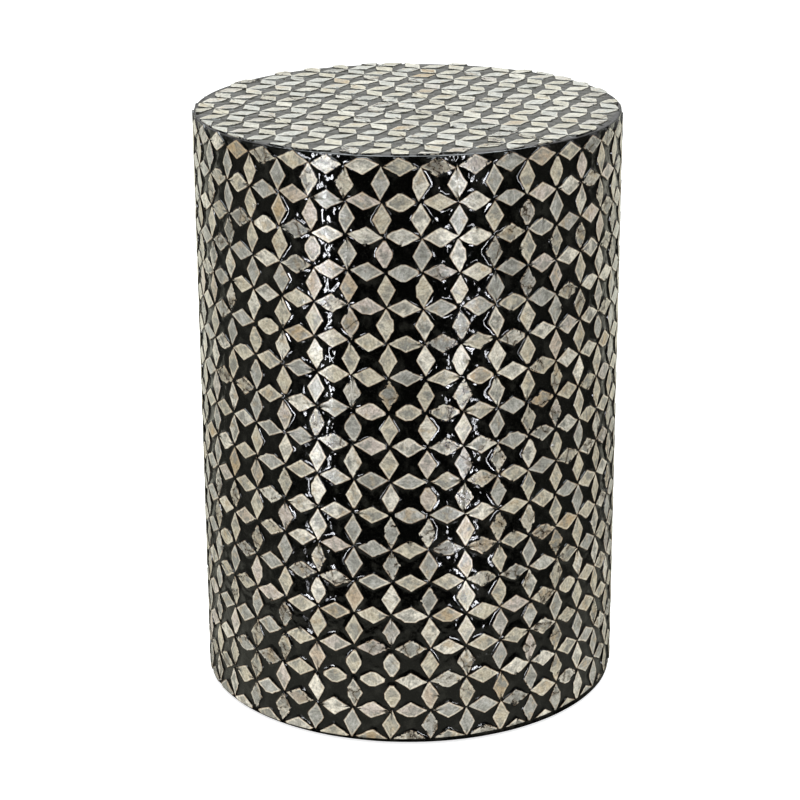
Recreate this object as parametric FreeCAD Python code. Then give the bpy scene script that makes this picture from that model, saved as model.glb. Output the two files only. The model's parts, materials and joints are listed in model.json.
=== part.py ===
"""Round accent stool: a timber drum faced with rhombic shell tiles on a black ground.

The drum is a bent plywood wall in two halves round three notched hoops and six upright battens,
closed by a seat panel above and a base panel below. A black ground coat covers the wall and the
seat, and shell tiles are set on it: on the side in level courses, on the seat in a turned grid.
In each grid a tile lies along every edge of a square cell, so that four tips meet at each corner
and a four pointed black star is left in each cell.

Millimetres. +Z is up, the origin is on the floor under the middle of the drum and -Y is the front.
"""

import FreeCAD, Part

import math
import os

# Overall sizes of the finished stool
OVERALL_HEIGHT = 457.0
OVERALL_DIAMETER = 326.0

# Shell tiles and the black ground that they are set on
TILE_THICKNESS = 1.2
GROUND_THICKNESS = 1.3
TILE_SHARP_ANGLE = 60.0
TIP_GAP = 1.5
EDGE_ROUND_SHARE = 0.85

# Side courses: tiles round the drum, and level courses from the seat edge to the bottom band
TILES_ROUND = 38
COURSE_STEPS = 17
TOP_BAND = 1.5
BOTTOM_BAND = 3.0

# Seat grid, with its turn and the place of one grid corner measured along the turned grid
SEAT_PITCH = 26.1
SEAT_TURN = 29.25
SEAT_CORNER_ALONG = -2.4
SEAT_CORNER_ACROSS = 9.9
SEAT_BAND = 2.5
SMALLEST_TILE_SHARE = 0.15

# Timber carcass
WALL_THICKNESS = 9.0
SEAT_PANEL_THICKNESS = 18.0
BASE_PANEL_THICKNESS = 12.0
HOOP_WIDTH = 32.0
HOOP_THICKNESS = 18.0
BATTEN_COUNT = 6
BATTEN_WIDTH = 40.0
BATTEN_DEPTH = 18.0
GLUE_LINE = 0.2

# Wood screws
SCREW_DIAMETER = 4.0
SCREW_HEAD_DIAMETER = 8.0
SCREW_TIP_LENGTH = 3.0
SCREW_HOLE_CLEARANCE = 0.2
SEAT_SCREW_GRIP = 12.0
BASE_SCREW_GRIP = 13.0
BATTEN_SCREW_GRIP = 12.0
DRIVE_SLOT_LENGTH = 4.4
DRIVE_SLOT_WIDTH = 1.1
DRIVE_SLOT_DEPTH = 1.3

# Felt pads under the base
PAD_COUNT = 4
PAD_DIAMETER = 26.0
PAD_THICKNESS = 2.0
PAD_INSET = 24.0

# How far a cutting shape runs past what it cuts
OVERRUN = 1.0

# Radii from the outside in
TILE_RADIUS = OVERALL_DIAMETER / 2
GROUND_RADIUS = TILE_RADIUS - TILE_THICKNESS
WALL_RADIUS = GROUND_RADIUS - GROUND_THICKNESS
WALL_INNER_RADIUS = WALL_RADIUS - WALL_THICKNESS
CARCASS_RADIUS = WALL_INNER_RADIUS - GLUE_LINE
HOOP_INNER_RADIUS = CARCASS_RADIUS - HOOP_WIDTH
HOOP_MIDDLE_RADIUS = CARCASS_RADIUS - HOOP_WIDTH / 2
BATTEN_INNER_RADIUS = CARCASS_RADIUS - BATTEN_DEPTH

# Heights from the floor up
DRUM_BOTTOM = PAD_THICKNESS
BASE_PANEL_TOP = DRUM_BOTTOM + BASE_PANEL_THICKNESS
SEAT_GROUND_TOP = OVERALL_HEIGHT - TILE_THICKNESS
SEAT_PANEL_TOP = SEAT_GROUND_TOP - GROUND_THICKNESS
SEAT_PANEL_BOTTOM = SEAT_PANEL_TOP - SEAT_PANEL_THICKNESS
LOWER_HOOP_BOTTOM = BASE_PANEL_TOP
UPPER_HOOP_BOTTOM = SEAT_PANEL_BOTTOM - HOOP_THICKNESS
MIDDLE_HOOP_BOTTOM = (LOWER_HOOP_BOTTOM + UPPER_HOOP_BOTTOM) / 2
BATTEN_LENGTH = SEAT_PANEL_BOTTOM - BASE_PANEL_TOP

# Tile diagonals: flat tiles run round the drum, upright tiles up it
SHORT_TO_LONG = math.tan(math.radians(TILE_SHARP_ANGLE / 2))
FLAT_LONG = 2 * math.pi * TILE_RADIUS / TILES_ROUND - TIP_GAP
FLAT_SHORT = FLAT_LONG * SHORT_TO_LONG
TOP_COURSE_HEIGHT = SEAT_GROUND_TOP - TOP_BAND - FLAT_SHORT / 2
LAST_COURSE_HEIGHT = DRUM_BOTTOM + BOTTOM_BAND
COURSE_PITCH = (TOP_COURSE_HEIGHT - LAST_COURSE_HEIGHT) / COURSE_STEPS
UPRIGHT_LONG = COURSE_PITCH - TIP_GAP
UPRIGHT_SHORT = UPRIGHT_LONG * SHORT_TO_LONG
SEAT_LONG = SEAT_PITCH - TIP_GAP
SEAT_SHORT = SEAT_LONG * SHORT_TO_LONG

ORIGIN = FreeCAD.Vector(0, 0, 0)
UP = FreeCAD.Vector(0, 0, 1)
BACK = FreeCAD.Vector(0, 1, 0)


def disc(radius, bottom, thickness):
    """A round plate with its underside at the given height."""
    return Part.makeCylinder(radius, thickness, FreeCAD.Vector(0, 0, bottom))


def ring(outer_radius, inner_radius, bottom, thickness):
    """A flat ring or a tube with its lower end at the given height."""
    hole = disc(inner_radius, bottom - OVERRUN, thickness + 2 * OVERRUN)
    return disc(outer_radius, bottom, thickness).cut(hole)


def prism(points, direction):
    """A straight prism over a closed outline of points."""
    outline = Part.makePolygon(points + points[:1])
    return Part.Face(outline).extrude(direction)


def turned(shape, degrees, height=0.0):
    """A copy of a shape, turned about the drum's axis and then raised."""
    copy = shape.copy()
    copy.rotate(ORIGIN, UP, degrees)
    copy.translate(UP * height)
    return copy


def spread(shape, count, first_degrees=0.0):
    """Copies of a shape, spaced evenly round the drum's axis."""
    return [turned(shape, first_degrees + k * 360 / count) for k in range(count)]


def screw_profile(length, clearance):
    """Half section of a countersunk screw, head face at height zero and tip up, or of its hole."""
    shank = SCREW_DIAMETER / 2 + clearance
    head = SCREW_HEAD_DIAMETER / 2 + clearance
    head_height = head - shank
    face = [(0, -OVERRUN), (head, -OVERRUN)] if clearance else [(0, 0)]
    body = [(head, 0), (shank, head_height), (shank, length - SCREW_TIP_LENGTH), (0, length + clearance)]
    points = face + body
    return [FreeCAD.Vector(radius, 0, height) for radius, height in points]


def revolved(points):
    """A solid turned about the Z axis from a half section."""
    return Part.Face(Part.makePolygon(points + points[:1])).revolve(ORIGIN, UP, 360)


def screw(length):
    """A countersunk wood screw with a cross slot, pointing up from the origin."""
    corner = FreeCAD.Vector(-DRIVE_SLOT_LENGTH / 2, -DRIVE_SLOT_WIDTH / 2, -OVERRUN)
    slot = Part.makeBox(DRIVE_SLOT_LENGTH, DRIVE_SLOT_WIDTH, OVERRUN + DRIVE_SLOT_DEPTH, corner)
    return revolved(screw_profile(length, 0)).cut([slot, turned(slot, 90)])


def screw_hole(length):
    """The clear space round a screw of the same length."""
    return revolved(screw_profile(length, SCREW_HOLE_CLEARANCE))


def upward(shape, radius, height):
    """A screw or its hole moved out to a radius and up to its head's height, still pointing up."""
    moved = shape.copy()
    moved.translate(FreeCAD.Vector(radius, 0, height))
    return moved


def outward(shape, radius, height):
    """A screw or its hole laid along the radius, its head at that radius and its tip outside."""
    moved = shape.copy()
    moved.rotate(ORIGIN, BACK, 90)
    moved.translate(FreeCAD.Vector(radius, 0, height))
    return moved


HALF_STEP = 180 / BATTEN_COUNT
SEAT_SCREW_LENGTH = HOOP_THICKNESS + SEAT_SCREW_GRIP
BASE_SCREW_LENGTH = BASE_PANEL_THICKNESS + BASE_SCREW_GRIP
BATTEN_SCREW_LENGTH = HOOP_WIDTH - BATTEN_DEPTH + BATTEN_SCREW_GRIP
HOOP_BOTTOMS = {
    "upper_hoop": UPPER_HOOP_BOTTOM,
    "middle_hoop": MIDDLE_HOOP_BOTTOM,
    "lower_hoop": LOWER_HOOP_BOTTOM,
}


def seat_screws(make):
    """The screws, or their holes, that go up through the upper hoop into the seat panel."""
    one = upward(make(SEAT_SCREW_LENGTH), HOOP_MIDDLE_RADIUS, UPPER_HOOP_BOTTOM)
    return spread(one, BATTEN_COUNT, HALF_STEP)


def base_screws(make):
    """The screws, or their holes, that go up through the base panel into the lower hoop."""
    one = upward(make(BASE_SCREW_LENGTH), HOOP_MIDDLE_RADIUS, DRUM_BOTTOM)
    return spread(one, BATTEN_COUNT, HALF_STEP)


def batten_screws(make):
    """The screws, or their holes, that go out through each hoop into each batten."""
    found = []
    for bottom in HOOP_BOTTOMS.values():
        one = outward(make(BATTEN_SCREW_LENGTH), HOOP_INNER_RADIUS, bottom + HOOP_THICKNESS / 2)
        found += spread(one, BATTEN_COUNT)
    return found


def batten():
    """The batten at zero degrees: a bar with its outer face rounded to the wall."""
    reach = CARCASS_RADIUS + OVERRUN - BATTEN_INNER_RADIUS
    corner = FreeCAD.Vector(BATTEN_INNER_RADIUS, -BATTEN_WIDTH / 2, BASE_PANEL_TOP)
    bar = Part.makeBox(reach, BATTEN_WIDTH, BATTEN_LENGTH, corner)
    return bar.common(disc(CARCASS_RADIUS, BASE_PANEL_TOP, BATTEN_LENGTH))


def hoop(bottom):
    """A ring notched at its outer edge for the battens, with its screw holes left to carcass()."""
    depth = BATTEN_DEPTH + GLUE_LINE
    width = BATTEN_WIDTH + 2 * GLUE_LINE
    corner = FreeCAD.Vector(CARCASS_RADIUS - depth, -width / 2, bottom - OVERRUN)
    notch = Part.makeBox(depth + OVERRUN, width, HOOP_THICKNESS + 2 * OVERRUN, corner)
    return ring(CARCASS_RADIUS, HOOP_INNER_RADIUS, bottom, HOOP_THICKNESS).cut(spread(notch, BATTEN_COUNT))


def wall_half(side):
    """Half of the bent plywood wall. Side is -1 for the front half and 1 for the rear half."""
    height = SEAT_PANEL_BOTTOM - DRUM_BOTTOM
    reach = WALL_RADIUS + OVERRUN
    front_corner = FreeCAD.Vector(-reach, -reach, DRUM_BOTTOM - OVERRUN)
    rear_corner = FreeCAD.Vector(-reach, 0, DRUM_BOTTOM - OVERRUN)
    corner = front_corner if side < 0 else rear_corner
    keep = Part.makeBox(2 * reach, reach, height + 2 * OVERRUN, corner)
    return ring(WALL_RADIUS, WALL_INNER_RADIUS, DRUM_BOTTOM, height).common(keep)


def carcass():
    """The timber pieces with their screw holes, as a table of node to shape."""
    seat_holes = seat_screws(screw_hole)
    base_holes = base_screws(screw_hole)
    batten_holes = batten_screws(screw_hole)
    pieces = {
        "seat_panel": disc(WALL_RADIUS, SEAT_PANEL_BOTTOM, SEAT_PANEL_THICKNESS).cut(seat_holes),
        "base_panel": disc(CARCASS_RADIUS, DRUM_BOTTOM, BASE_PANEL_THICKNESS).cut(base_holes),
        "front_wall": wall_half(-1),
        "rear_wall": wall_half(1),
    }
    for name, bottom in HOOP_BOTTOMS.items():
        pieces[name] = hoop(bottom).cut(seat_holes + base_holes + batten_holes)
    for number, bar in enumerate(spread(batten(), BATTEN_COUNT), start=1):
        pieces[f"batten_{number}"] = bar.cut(batten_holes)
    return pieces


def side_ground():
    """The black coat on the wall and on the seat panel's edge."""
    return ring(GROUND_RADIUS, WALL_RADIUS, DRUM_BOTTOM, SEAT_PANEL_TOP - DRUM_BOTTOM)


def seat_ground():
    """The black coat on the seat, with its upper edge rounded."""
    coat = disc(GROUND_RADIUS, SEAT_PANEL_TOP, GROUND_THICKNESS)
    rim = [edge for edge in coat.Edges if edge.Closed and edge.BoundBox.ZMin > SEAT_PANEL_TOP]
    return coat.makeFillet(EDGE_ROUND_SHARE * GROUND_THICKNESS, rim)


def side_tile(half_long, top, bottom):
    """A tile on the front of the side, curved with it. With its bottom at zero it is the upper half tile."""
    face = -TILE_RADIUS - OVERRUN
    outline = [(-half_long, 0), (0, bottom), (half_long, 0), (0, top)]
    points = [FreeCAD.Vector(x, face, z) for x, z in outline if x or z]
    depth = TILE_THICKNESS + 2 * OVERRUN + TILE_RADIUS - math.sqrt(TILE_RADIUS**2 - half_long**2)
    reach = top - bottom
    shell = ring(TILE_RADIUS, GROUND_RADIUS, -reach, 2 * reach)
    return prism(points, BACK * depth).common(shell)


def side_courses():
    """The level courses of side tiles, as a table of node to shape. The lowest is a course of half tiles."""
    step = 360 / TILES_ROUND
    flat = side_tile(FLAT_LONG / 2, FLAT_SHORT / 2, -FLAT_SHORT / 2)
    half = side_tile(FLAT_LONG / 2, FLAT_SHORT / 2, 0)
    upright = side_tile(UPRIGHT_SHORT / 2, UPRIGHT_LONG / 2, -UPRIGHT_LONG / 2)
    courses = {}
    for number in range(COURSE_STEPS + 1):
        height = TOP_COURSE_HEIGHT - number * COURSE_PITCH
        tile = flat if number < COURSE_STEPS else half
        flats = [turned(tile, k * step, height) for k in range(TILES_ROUND)]
        courses[f"flat_course_{number + 1:02d}"] = Part.makeCompound(flats)
        if number < COURSE_STEPS:
            between = height - COURSE_PITCH / 2
            uprights = [turned(upright, (k + 0.5) * step, between) for k in range(TILES_ROUND)]
            courses[f"upright_course_{number + 1:02d}"] = Part.makeCompound(uprights)
    return courses


def seat_tile(along, across, half_along, half_across, limit):
    """A seat tile at a place in the turned grid, trimmed at the rim, or None where too little is left."""
    outline = [(half_along, 0), (0, half_across), (-half_along, 0), (0, -half_across)]
    points = [FreeCAD.Vector(along + x, across + y, SEAT_GROUND_TOP) for x, y in outline]
    tile = prism(points, UP * TILE_THICKNESS)
    tile.rotate(ORIGIN, UP, SEAT_TURN)
    furthest = max(math.hypot(p.x, p.y) for p in points)
    if furthest <= limit:
        return tile
    whole = tile.Volume
    tile = tile.common(disc(limit, SEAT_GROUND_TOP - OVERRUN, TILE_THICKNESS + 2 * OVERRUN))
    return tile if tile.Volume >= SMALLEST_TILE_SHARE * whole else None


def seat_tiles():
    """The two sets of seat tiles, lying along and across the turned grid, as a table of node to shape."""
    limit = GROUND_RADIUS - SEAT_BAND
    reach = math.ceil(2 * GROUND_RADIUS / SEAT_PITCH)
    sets = {"seat_tiles_along": [], "seat_tiles_across": []}
    for i in range(-reach, reach + 1):
        for j in range(-reach, reach + 1):
            u = SEAT_CORNER_ALONG + i * SEAT_PITCH
            v = SEAT_CORNER_ACROSS + j * SEAT_PITCH
            middle = SEAT_PITCH / 2
            sets["seat_tiles_along"].append(seat_tile(u + middle, v, SEAT_LONG / 2, SEAT_SHORT / 2, limit))
            sets["seat_tiles_across"].append(seat_tile(u, v + middle, SEAT_SHORT / 2, SEAT_LONG / 2, limit))
    return {name: Part.makeCompound([t for t in tiles if t]) for name, tiles in sets.items()}


def felt_pads():
    """The pads under the base panel, set between its screws."""
    pad = Part.makeCylinder(PAD_DIAMETER / 2, PAD_THICKNESS, FreeCAD.Vector(CARCASS_RADIUS - PAD_INSET, 0, 0))
    return Part.makeCompound(spread(pad, PAD_COUNT, 180 / PAD_COUNT))


def main():
    """Builds every piece, reports its solids and writes one file for each node."""
    nodes = carcass()
    nodes["side_ground"] = side_ground()
    nodes["seat_ground"] = seat_ground()
    nodes.update(side_courses())
    nodes.update(seat_tiles())
    nodes["seat_screws"] = Part.makeCompound(seat_screws(screw))
    nodes["base_screws"] = Part.makeCompound(base_screws(screw))
    nodes["batten_screws"] = Part.makeCompound(batten_screws(screw))
    nodes["felt_pads"] = felt_pads()
    os.makedirs("parts", exist_ok=True)
    for name, shape in nodes.items():
        shape.exportStep(os.path.join("parts", f"{name}.step"))
        print(f"{name}: {len(shape.Solids)} solids, {shape.Volume / 1000:.1f} cm3, valid {shape.isValid()}")


main()
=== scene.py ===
"""Looks of a round accent stool: hand-cut shell tiles set in glossy black lacquer on a timber drum.

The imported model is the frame. Its timber, screws and pads keep their shape and get a finish, and the even
tile courses and ground coats are replaced by hand-laid ones: every tile is one of a set of uneven cuts, set
a little out of line, with lacquer drawn up its edges. Metres, +Z up, the floor at zero and -Y the front.
"""

from __future__ import annotations

import json
import logging
import math
import random
from dataclasses import dataclass
from enum import Enum
from typing import Any

import bmesh
import bpy
from mathutils import Matrix, Vector, noise

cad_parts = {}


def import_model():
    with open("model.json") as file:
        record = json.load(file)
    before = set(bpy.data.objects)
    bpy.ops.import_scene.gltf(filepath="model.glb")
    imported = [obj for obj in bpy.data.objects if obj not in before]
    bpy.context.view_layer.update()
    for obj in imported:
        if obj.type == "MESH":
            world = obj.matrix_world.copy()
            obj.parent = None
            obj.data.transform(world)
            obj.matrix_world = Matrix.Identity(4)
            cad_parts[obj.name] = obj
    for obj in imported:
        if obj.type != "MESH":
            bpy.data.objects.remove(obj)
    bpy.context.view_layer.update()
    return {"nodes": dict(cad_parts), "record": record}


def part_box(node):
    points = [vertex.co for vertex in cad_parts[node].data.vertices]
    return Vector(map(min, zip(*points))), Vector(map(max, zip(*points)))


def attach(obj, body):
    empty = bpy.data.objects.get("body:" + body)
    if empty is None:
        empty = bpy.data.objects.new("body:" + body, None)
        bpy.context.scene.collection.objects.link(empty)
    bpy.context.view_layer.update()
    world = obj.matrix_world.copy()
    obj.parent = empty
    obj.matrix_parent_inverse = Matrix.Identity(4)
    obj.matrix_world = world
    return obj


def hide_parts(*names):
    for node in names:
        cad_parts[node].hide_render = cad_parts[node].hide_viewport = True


LOG = logging.getLogger("accent_stool")
MM = 0.001
BODY = "root"
SHARP_HALF_ANGLE = math.radians(30)
CREASE_ANGLE = math.radians(40)
WELD_DISTANCE = 0.01 * MM
CUT_TOLERANCE = 0.001 * MM
COAT_WAVES = 38.0
COAT_SEED = 5

Colour = tuple[float, float, float]
Place = tuple[float, float, float]
Point = tuple[float, float]
Span = tuple[float, float]
Plane = tuple[Vector, Vector]
Settings = dict[str, Any] | None
Inputs = dict[Any, Any] | None


class Slot(Enum):
    """The record's material slots."""

    SHELL = "shell_tile"
    LACQUER = "black_ground"
    PLYWOOD = "plywood"
    BOARD = "board"
    BLACK_BOARD = "black_board"
    STEEL = "screw_steel"
    FELT = "felt"


class Course(Enum):
    """The two kinds of tile course on the side."""

    FLAT = "flat"
    UPRIGHT = "upright"


class Draw(Enum):
    """What is drawn at random for each tile. The number is added to the seed."""

    TONE = 1
    WEAR = 2
    TURN = 3
    SHIFT_X = 4
    SHIFT_Y = 5
    SHIFT_Z = 6
    STRAY_X = 7
    STRAY_Y = 8
    HALF_TURN = 9
    TILT_X = 10
    TILT_Y = 11
    OFF_LINE = 12
    LENGTH = 13
    WIDTH = 14
    CUT = 15


class Wire:
    """One output of a node. Arithmetic on it adds Math nodes to its tree."""

    def __init__(self, graph: Graph, socket: bpy.types.NodeSocket) -> None:
        """Keep the socket and the graph that it belongs to."""
        self.graph = graph
        self.socket = socket

    def math(self, operation: str, *values: Any) -> Wire:
        """A Math node on this wire or on the values given."""
        return self.graph.wire("ShaderNodeMath", {"operation": operation}, dict(enumerate(values or (self,))))

    def __add__(self, other: Any) -> Wire:
        """This wire plus a value."""
        return self.math("ADD", self, other)

    def __radd__(self, other: Any) -> Wire:
        """A value plus this wire."""
        return self.math("ADD", other, self)

    def __sub__(self, other: Any) -> Wire:
        """This wire less a value."""
        return self.math("SUBTRACT", self, other)

    def __rsub__(self, other: Any) -> Wire:
        """A value less this wire."""
        return self.math("SUBTRACT", other, self)

    def __mul__(self, other: Any) -> Wire:
        """This wire times a value."""
        return self.math("MULTIPLY", self, other)

    def __rmul__(self, other: Any) -> Wire:
        """A value times this wire."""
        return self.math("MULTIPLY", other, self)

    def __truediv__(self, other: Any) -> Wire:
        """This wire divided by a value."""
        return self.math("DIVIDE", self, other)

    def __mod__(self, other: Any) -> Wire:
        """What is left of this wire after division by a value."""
        return self.math("FLOORED_MODULO", self, other)

    def __gt__(self, other: Any) -> Wire:
        """One where this wire is above a value, else zero."""
        return self.math("GREATER_THAN", self, other)


class Graph:
    """A node tree under construction. One method adds any node, and wires carry the arithmetic."""

    def __init__(self, tree: bpy.types.NodeTree) -> None:
        """Keep the tree that nodes are added to."""
        self.tree = tree

    def feed(self, socket: bpy.types.NodeSocket, value: Any) -> None:
        """Link a wire to a socket, or set the socket's own value.

        Args:
            socket: An input of a node.
            value: A wire, a number, or a colour with or without its alpha.
        """
        if isinstance(value, Wire):
            self.tree.links.new(value.socket, socket)
        elif socket.type == "RGBA" and len(value) == 3:
            socket.default_value = (*value, 1.0)
        else:
            socket.default_value = value

    def node(self, kind: str, settings: Settings = None, inputs: Inputs = None) -> bpy.types.Node:
        """Add a node.

        Args:
            kind: The node's type name.
            settings: Its properties, set first. "stops" holds a colour ramp's positions and colours.
            inputs: Values or wires for its sockets, by name or number.

        Returns:
            The new node.
        """
        made = self.tree.nodes.new(kind)
        for name, value in (settings or {}).items():
            if name == "stops":
                self.set_stops(made.color_ramp, value)
            else:
                setattr(made, name, value)
        for key, value in (inputs or {}).items():
            self.feed(made.inputs[key], value)
        return made

    def wire(self, kind: str, settings: Settings = None, inputs: Inputs = None, output: Any = 0) -> Wire:
        """Add a node as node() does and return one of its outputs as a wire."""
        return Wire(self, self.node(kind, settings, inputs).outputs[output])

    @staticmethod
    def set_stops(ramp: bpy.types.ColorRamp, stops: list[tuple[float, Colour]]) -> None:
        """Give a colour ramp its stops.

        Args:
            ramp: The ramp.
            stops: The position and colour of each stop, in order.
        """
        while len(ramp.elements) < len(stops):
            ramp.elements.new(1.0)
        for element, (position, colour) in zip(ramp.elements, stops):
            element.position = position
            element.color = (*colour, 1.0)

    def mix(self, factor: Any, first: Any, second: Any, blend: str = "MIX") -> Wire:
        """Mix two colours."""
        settings = {"data_type": "RGBA", "blend_type": blend}
        return self.wire("ShaderNodeMix", settings, {0: factor, 6: first, 7: second}, 2)

    def smooth(self, value: Wire, low: float, high: float) -> Wire:
        """Zero below low and one above high, with a smooth step between. Low may be the larger."""
        settings = {"interpolation_type": "SMOOTHSTEP"}
        return self.wire("ShaderNodeMapRange", settings, {0: value, 1: low, 2: high, 3: 0.0, 4: 1.0})

    def vector(self, operation: str, first: Any, second: Any) -> Wire:
        """A Vector Math node on two vectors."""
        return self.wire("ShaderNodeVectorMath", {"operation": operation}, {0: first, 1: second})

    def length(self, vector: Wire) -> Wire:
        """The length of a vector."""
        return self.wire("ShaderNodeVectorMath", {"operation": "LENGTH"}, {0: vector}, "Value")

    def parts(self, vector: Wire) -> list[Wire]:
        """The X, Y and Z of a vector."""
        split = self.node("ShaderNodeSeparateXYZ", None, {0: vector})
        return [Wire(self, output) for output in split.outputs]

    def noise(self, place: Wire, scale: float, detail: float = 2.0, roughness: float = 0.5,
              output: Any = 0) -> Wire:
        """Noise at a place, with scale in waves per metre."""
        inputs = {"Vector": place, "Scale": scale, "Detail": detail, "Roughness": roughness}
        return self.wire("ShaderNodeTexNoise", None, inputs, output)

    def wavered(self, place: Wire, scale: float, reach: float) -> Wire:
        """A place moved by noise, with scale in waves per metre and the reach in metres."""
        stray = self.noise(place, scale, 2.0, 0.6, "Color")
        return self.vector("ADD", place, self.vector("MULTIPLY", stray, (reach,) * 3))

    def attribute(self, name: str, output: str) -> Wire:
        """An attribute of the mesh, as its Fac, Vector or Color."""
        return self.wire("ShaderNodeAttribute", {"attribute_name": name}, None, output)

    def object_place(self) -> Wire:
        """The shaded point in the piece's own coordinates."""
        return self.wire("ShaderNodeTexCoord", None, None, "Object")

    def bump(self, height: Wire, distance: float, strength: float) -> Wire:
        """A normal tilted by a height, with the full height's size in metres."""
        inputs = {"Height": height, "Distance": distance, "Strength": strength}
        return self.wire("ShaderNodeBump", None, inputs)

    def ray(self, kind: str) -> Wire:
        """One where the ray is of a kind, such as Is Camera Ray."""
        return self.wire("ShaderNodeLightPath", None, None, kind)

    def emission(self, colour: Any, strength: Any) -> Wire:
        """A glow."""
        return self.wire("ShaderNodeEmission", None, {"Color": colour, "Strength": strength})

    def both(self, first: Wire, second: Wire) -> Wire:
        """Two shaders added together."""
        return self.wire("ShaderNodeAddShader", None, {0: first, 1: second})

    def either(self, factor: Wire, first: Wire, second: Wire) -> Wire:
        """The first shader where the factor is zero and the second where it is one."""
        return self.wire("ShaderNodeMixShader", None, {0: factor, 1: first, 2: second})


class Surface(Graph):
    """A material's tree with its Principled shader."""

    def __init__(self, name: str) -> None:
        """Make the material and find its shader.

        Args:
            name: The material's name.
        """
        self.material = bpy.data.materials.new(name)
        self.material.use_nodes = True
        super().__init__(self.material.node_tree)
        self.shader = self.tree.nodes["Principled BSDF"]

    def dress(self, **sockets: Any) -> bpy.types.Material:
        """Feed the shader's sockets.

        Args:
            sockets: Values or wires by the socket's name, with underscores for spaces.

        Returns:
            The material.
        """
        for name, value in sockets.items():
            self.feed(self.shader.inputs[name.replace("_", " ")], value)
        return self.material


@dataclass(frozen=True)
class ShellFinish:
    """Shell from many valves under clear lacquer, so that tiles differ in tone, streak, crack and wear."""

    cream: Colour = (0.43, 0.385, 0.287)
    pale: Colour = (0.59, 0.55, 0.46)
    silver: Colour = (0.325, 0.318, 0.285)
    rose: Colour = (0.46, 0.395, 0.34)
    ochre: Colour = (0.34, 0.25, 0.14)
    grey: Colour = (0.185, 0.18, 0.155)
    stain: Colour = (0.14, 0.10, 0.06)
    # Painted highlight: the paler colour just inside each tile's rim.
    border: Colour = (0.56, 0.51, 0.405)
    tide: Colour = (0.22, 0.14, 0.08)
    crack: Colour = (0.022, 0.016, 0.011)
    edge: Colour = (0.006, 0.006, 0.006)
    tone_spans: tuple[Span, ...] = ((0.0, 0.32), (0.40, 0.56), (0.62, 0.83), (0.87, 0.93), (0.97, 1.0))
    cracked_from: float = 0.71
    pitted_from: float = 0.5
    liveliness: float = 1.0
    streak_scale: float = 170.0
    streak_narrowing: float = 3.0
    cloud_scale: float = 120.0
    fine_scale: float = 700.0
    rust_scale: float = 80.0
    crack_scale: float = 70.0
    crack_bend_scale: float = 260.0
    crack_bend: float = 6.0 * MM
    chip_scale: float = 430.0
    chip_bend_scale: float = 500.0
    chip_bend: float = 1.8 * MM
    relief: float = 1.0 * MM

    @classmethod
    def painted_seat_sheen(cls) -> ShellFinish:
        """The seat's shell: fewer cracks and pits, and painted sheen that pales and evens its tones."""
        # Painted sheen: paler greys, a duller pale and less contrast stand in for light reflected off the
        # top.
        return cls(cream=(0.435, 0.398, 0.307), pale=(0.51, 0.477, 0.402), silver=(0.408, 0.40, 0.36),
                   rose=(0.455, 0.412, 0.36), grey=(0.26, 0.254, 0.22), border=(0.485, 0.461, 0.394),
                   tide=(0.27, 0.24, 0.19), cracked_from=0.84, pitted_from=0.72, liveliness=0.62)

    def material(self) -> bpy.types.Material:
        """Build the finish.

        Returns:
            The material, ready for a piece.
        """
        g = Surface(Slot.SHELL.value)
        wear = g.attribute("tile_wear", "Fac")
        rim = g.attribute("tile_rim", "Fac")
        turn = g.attribute("tile_turn", "Fac")
        inputs = {"Vector": g.attribute("tile_place", "Vector"), "Angle": turn}
        turned = g.wire("ShaderNodeVectorRotate", {"rotation_type": "Z_AXIS"}, inputs)
        grain = g.vector("ADD", turned, g.attribute("tile_shift", "Vector"))
        drawn = g.vector("MULTIPLY", grain, (1.0, self.streak_narrowing, 1.0))
        streaks = g.noise(drawn, self.streak_scale, 5.0, 0.62)
        clouds = g.noise(grain, self.cloud_scale, 4.0, 0.6)
        fine = g.noise(grain, self.fine_scale, 4.0, 0.7)
        rust = g.noise(grain, self.rust_scale, 4.0, 0.65)
        # Painted highlight: a paler band just inside each tile's rim, as if light caught its bevelled edge.
        border = g.smooth(rim, 0.25, 0.37)
        mottle = (wear * 0.45 + g.smooth(clouds, 0.42, 0.60) * 0.72) * self.liveliness
        colour = g.mix(mottle * (1.0 - border * 0.75), self.tone(g), self.grey)
        colour = g.mix(g.smooth(rust, 0.54, 0.68) * 0.55, colour, self.ochre)
        colour = g.mix(g.smooth(clouds, 0.42, 0.30) * 0.35, colour, self.stain)
        colour = g.mix(border * (0.16 + turn * (0.62 / math.tau)), colour, self.border)
        colour = g.mix(g.smooth(rim, 0.43, 0.53) * g.smooth(clouds, 0.34, 0.54) * 0.85, colour, self.tide)
        shade = g.smooth(streaks, 0.36, 0.64) * 0.42 + g.smooth(fine, 0.38, 0.62) * 0.40
        shade = 1.0 + (shade - 0.36 - g.smooth(wear, 0.6, 1.0) * 0.11) * self.liveliness
        grey_shade = g.wire("ShaderNodeCombineColor", None, {0: shade, 1: shade, 2: shade})
        colour = g.mix(1.0, colour, grey_shade, "MULTIPLY")
        apart = self.from_crack(g, grain)
        brittle = (wear > self.cracked_from) * g.smooth(clouds, 0.43, 0.51)
        colour = g.mix(g.smooth(apart, 0.12, 0.02) * brittle * 0.55, colour, self.stain)
        cracks = g.smooth(apart, 0.030, 0.010) * brittle
        pits = g.smooth(fine, 0.68, 0.74) * (wear > self.pitted_from)
        colour = g.mix(cracks.math("MAXIMUM", cracks, pits), colour, self.crack)
        ragged = (self.chips(g, grain) - 0.5) * (0.35 + 0.75 * g.smooth(wear, 0.5, 0.9))
        creep = rim + ragged + (fine - 0.5) * 0.3
        colour = g.mix(g.smooth(creep, 0.66, 0.70), colour, self.edge)
        colour = g.mix(g.smooth(rim, 0.8, 1.0), colour, self.edge)
        normal = g.bump(clouds * 0.65 + streaks * 0.35, self.relief, 0.45)
        return g.dress(Base_Color=colour, Roughness=streaks * 0.35, IOR=1.6, Normal=normal)

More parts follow.
